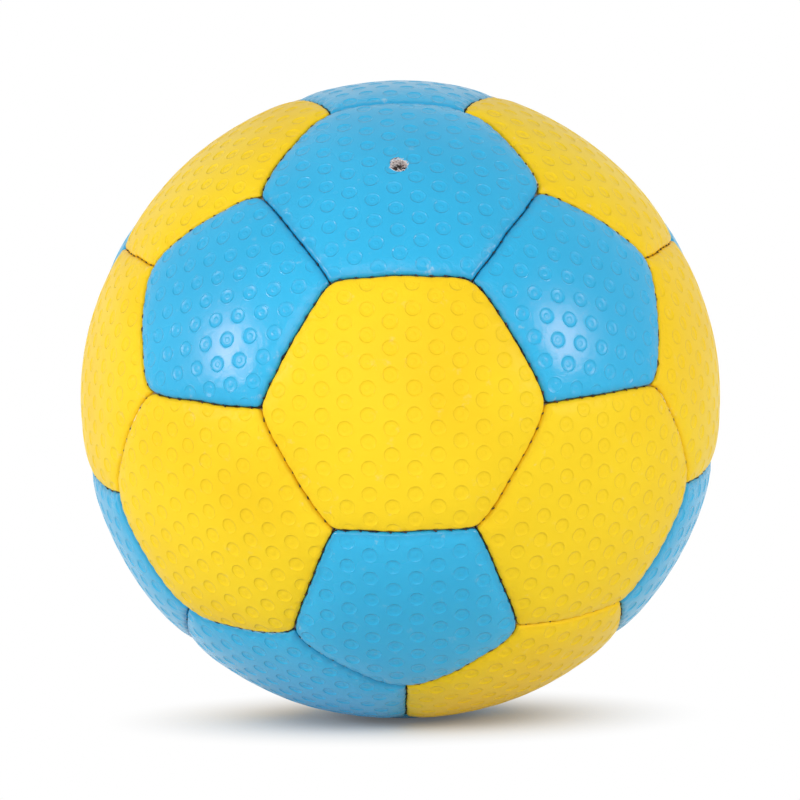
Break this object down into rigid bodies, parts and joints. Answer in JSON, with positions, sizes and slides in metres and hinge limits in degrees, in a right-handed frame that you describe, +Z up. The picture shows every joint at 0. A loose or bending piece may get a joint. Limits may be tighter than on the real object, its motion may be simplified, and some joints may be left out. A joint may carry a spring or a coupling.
{
  "type": "handball",
  "caption": "Hand-sewn handball of hexagon and pentagon panels in yellow and blue dimpled synthetic leather, over foam, cloth and a rubber bladder with a needle valve.",
  "frame": {"origin": "the centre of the ball", "axes": "+Z up as the ball lies in the picture, -Y from the centre of the ball through the middle of the front hexagon towards the viewer, +X to the viewer's right; the valve is in the YZ plane, above the front hexagon"},
  "size_m": [0.1748, 0.175, 0.175],
  "materials": {
    "cover_yellow": "satin, dimpled",
    "cover_blue": "satin, dimpled",
    "foam": "matt",
    "lining": "woven",
    "thread": "waxed",
    "bladder_rubber": "matt",
    "valve_rubber": "matt",
    "valve_plug": "matt",
    "patch_cloth": "woven"
  },
  "bodies": {
    "root": {"hexagon_front": "cover_yellow", "hexagon_valve": "cover_blue", "hexagon_front_lower_right": "cover_yellow", "hexagon_front_lower_left": "cover_yellow", "pentagon_upper_right": "cover_blue", "pentagon_front_lower": "cover_blue", "pentagon_upper_left": "cover_blue", "hexagon_upper_right_front": "cover_yellow", "hexagon_right_front": "cover_yellow", "hexagon_bottom_right_front": "cover_yellow", "hexagon_bottom_left_front": "cover_blue", "hexagon_left_front": "cover_yellow", "hexagon_upper_left_front": "cover_yellow", "pentagon_top": "cover_blue", "pentagon_right_lower": "cover_blue", "pentagon_left_lower": "cover_blue", "pentagon_bottom": "cover_blue", "pentagon_left_upper": "cover_blue", "pentagon_right_upper": "cover_blue", "hexagon_lower_left_back": "cover_yellow", "hexagon_left_back": "cover_yellow", "hexagon_top_left_back": "cover_yellow", "hexagon_top_right_back": "cover_yellow", "hexagon_right_back": "cover_blue", "hexagon_lower_right_back": "cover_yellow", "pentagon_back_lower_left": "cover_blue", "pentagon_back_upper": "cover_blue", "pentagon_back_lower_right": "cover_blue", "hexagon_lower_back": "cover_yellow", "hexagon_back_upper_left": "cover_blue", "hexagon_back_upper_right": "cover_yellow", "hexagon_back": "cover_yellow", "hexagon_foam_pads": "foam", "pentagon_foam_pads": "foam", "hexagon_linings": "lining", "pentagon_linings": "lining", "seam_thread": "thread", "bladder": "bladder_rubber", "valve_body": "valve_rubber", "valve_core": "valve_plug", "valve_patch": "patch_cloth"}
  },
  "joints": []
}
